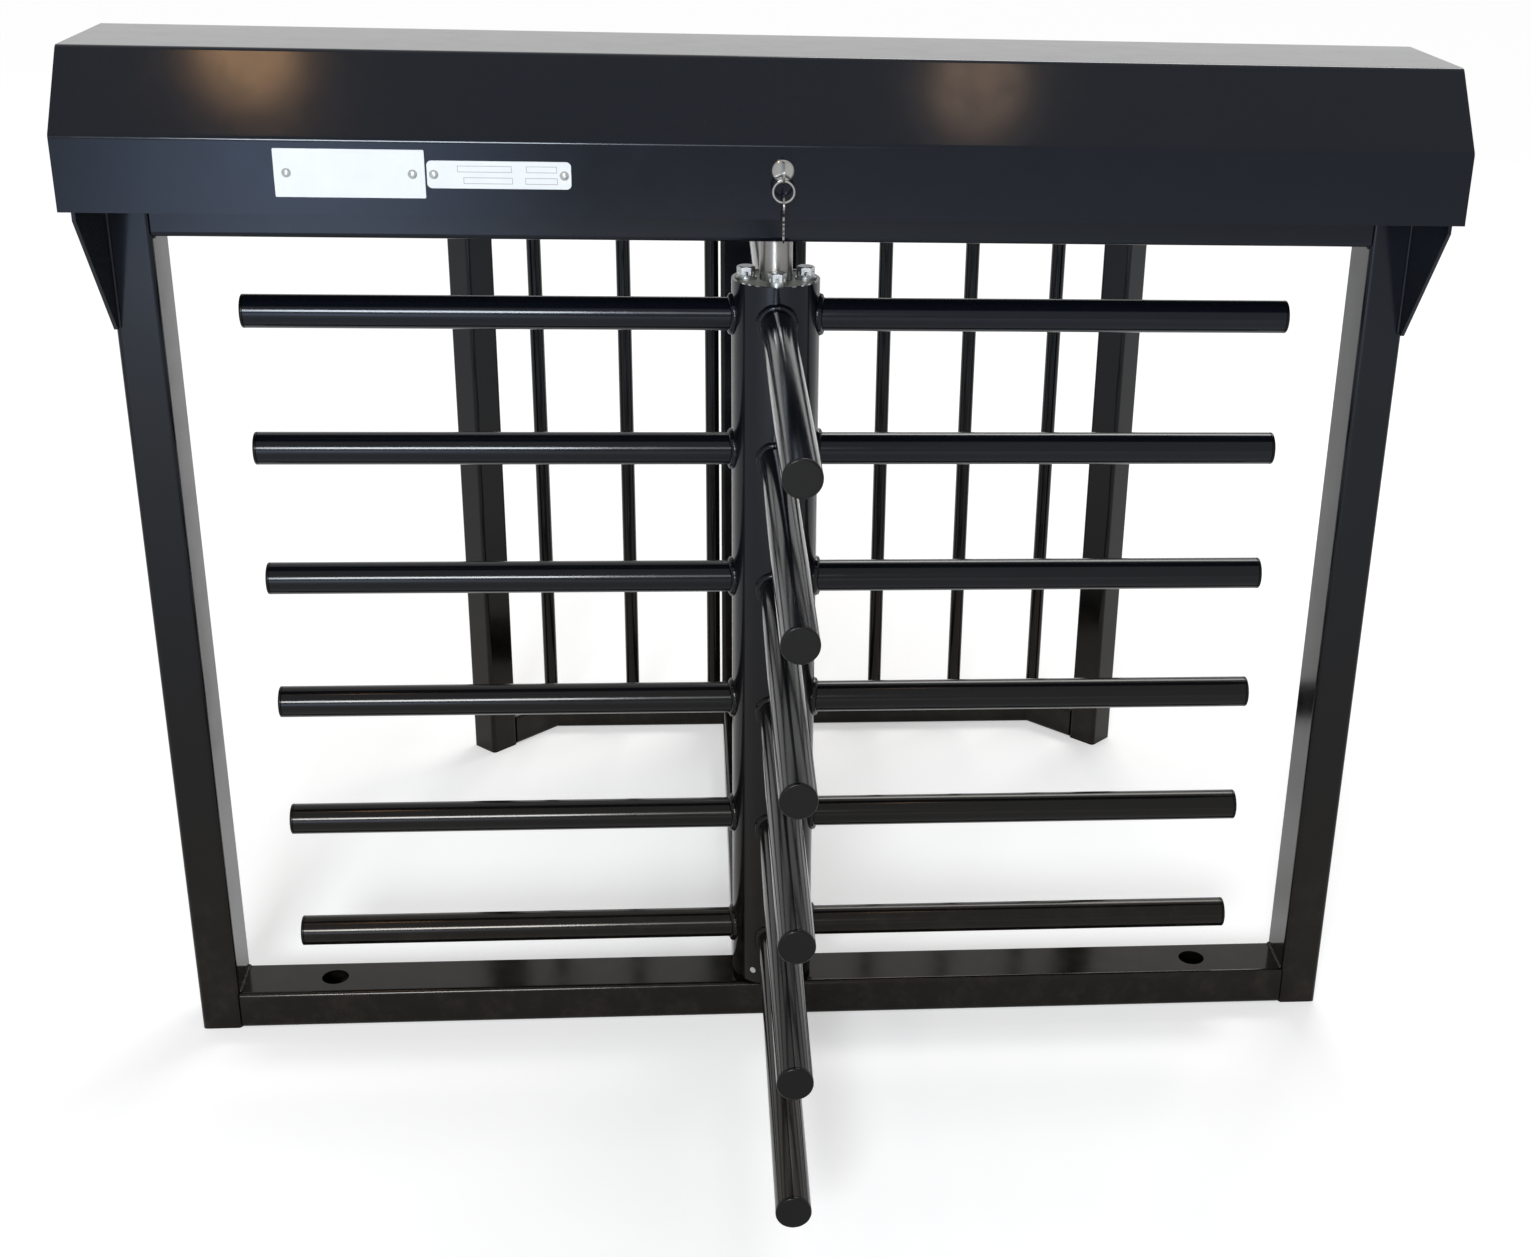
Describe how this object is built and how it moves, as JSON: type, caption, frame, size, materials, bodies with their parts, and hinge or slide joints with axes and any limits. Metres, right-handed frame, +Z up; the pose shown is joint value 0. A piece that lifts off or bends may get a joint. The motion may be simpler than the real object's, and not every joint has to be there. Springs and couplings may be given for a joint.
{
  "type": "half height turnstile",
  "caption": "Waist high turnstile: steel tube portal with a sheet metal mechanism hood, a rotor of tube arm wings, and a picket barrier behind it on a floor spine.",
  "frame": {"origin": "on the rotor axis at floor level, in the middle of the base rail's underside", "axes": "+X along the portal, to the right seen from the front; +Y to the back, towards the picket barrier; +Z up along the rotor axis"},
  "size_m": [1.48, 1.51, 1.2235],
  "materials": {
    "powder_coat": "black semi-gloss powder coat on steel",
    "cap": "black moulded plug",
    "bare_steel": "bare sawn and milled steel",
    "turned_steel": "bright turned steel",
    "zinc_plate": "zinc plated",
    "bronze": "oiled bearing bronze",
    "cast_iron": "cast, grey primer",
    "rubber": "moulded",
    "coil": "wrapped coil in a steel frame",
    "chrome": "polished",
    "nickel": "nickel plated",
    "bare_plate": "satin, bare"
  },
  "bodies": {
    "frame": {"base_rail": "powder_coat", "left_upright": "powder_coat", "right_upright": "powder_coat", "head_rail": "powder_coat", "hood_gussets": "powder_coat", "spine_rail": "powder_coat", "barrier_bottom_rail": "powder_coat", "barrier_top_rail": "powder_coat", "barrier_wings": "powder_coat", "end_posts": "powder_coat", "end_post_caps": "cap", "centre_post": "powder_coat", "pickets": "powder_coat", "pivot_pin": "bare_steel", "thrust_washer": "bronze", "chassis_plate": "powder_coat", "rest_bumpers": "rubber", "hinge_fixed_leaves": "powder_coat", "bearing_housing": "cast_iron", "housing_bolts": "zinc_plate", "bearing_outer_race": "turned_steel", "pawl_posts": "bare_steel", "solenoids": "coil", "solenoid_stands": "zinc_plate", "catch_bracket": "zinc_plate"},
    "rotor": {"column": "powder_coat", "right_wing_arms": "powder_coat", "rear_wing_arms": "powder_coat", "left_wing_arms": "powder_coat", "front_wing_arms": "powder_coat", "arm_caps": "cap", "column_collar": "powder_coat", "shaft_flange": "bare_steel", "flange_washers": "zinc_plate", "flange_bolts": "zinc_plate", "rotor_shaft": "turned_steel", "foot_bush": "bronze", "foot_plug": "bare_steel", "foot_screws": "zinc_plate", "bearing_inner_race": "turned_steel", "bearing_rollers": "turned_steel", "lock_disc": "bare_steel", "disc_key": "bare_steel", "shaft_collar": "turned_steel"},
    "hood": {"hood": "powder_coat", "hood_rest_tabs": "powder_coat", "hinge_moving_leaves": "powder_coat", "lock_body": "chrome", "name_plates": "bare_plate", "plate_rivets": "zinc_plate"},
    "lock": {"lock_plug": "chrome", "lock_tongue": "nickel", "lock_key": "nickel"},
    "key_ring": {"key_ring": "chrome"},
    "spare_key": {"spare_key": "nickel"},
    "entry_pawl": {"entry_pawl": "bare_steel"},
    "exit_pawl": {"exit_pawl": "bare_steel"},
    "entry_plunger": {"entry_plunger": "turned_steel"},
    "exit_plunger": {"exit_plunger": "turned_steel"}
  },
  "joints": [
    {"name": "rotor_turn", "type": "hinge", "parent": "frame", "child": "rotor", "pos_m": [0, 0, 0], "axis": [0, 0, 1], "continuous": true},
    {"name": "hood_lift", "type": "hinge", "parent": "frame", "child": "hood", "pos_m": [0, 0.166, 1.0715], "axis": [-1, 0, 0], "range_deg": [0, 75]},
    {"name": "lock_turn", "type": "hinge", "parent": "hood", "child": "lock", "pos_m": [0, -0.161, 1.1175], "axis": [0, 1, 0], "range_deg": [0, 90]},
    {"name": "key_ring_swing", "type": "hinge", "parent": "lock", "child": "key_ring", "pos_m": [0, -0.18, 1.1115], "axis": [1, 0, 0], "range_deg": [-45, 5]},
    {"name": "spare_key_swing", "type": "hinge", "parent": "key_ring", "child": "spare_key", "pos_m": [0, -0.18, 1.08686], "axis": [1, 0, 0], "range_deg": [-40, 5]},
    {"name": "entry_pawl_turn", "type": "hinge", "parent": "frame", "child": "entry_pawl", "pos_m": [-0.105, -0.07, 0], "axis": [0, 0, -1], "range_deg": [0, 12], "stiffness_Nm_per_rad": 0.5, "springref_deg": -11.46},
    {"name": "exit_pawl_turn", "type": "hinge", "parent": "frame", "child": "exit_pawl", "pos_m": [0.105, -0.07, 0], "axis": [0, 0, 1], "range_deg": [0, 12], "stiffness_Nm_per_rad": 0.5, "springref_deg": -11.46},
    {"name": "entry_plunger_slide", "type": "slide", "parent": "frame", "child": "entry_plunger", "axis": [-1, 0, 0], "range_m": [0, 0.0085]},
    {"name": "exit_plunger_slide", "type": "slide", "parent": "frame", "child": "exit_plunger", "axis": [1, 0, 0], "range_m": [0, 0.0085]}
  ],
  "couplings": [
    {"joint": "entry_plunger_slide", "follows": "entry_pawl_turn", "m_per_rad": 0.04},
    {"joint": "exit_plunger_slide", "follows": "exit_pawl_turn", "m_per_rad": 0.04}
  ]
}
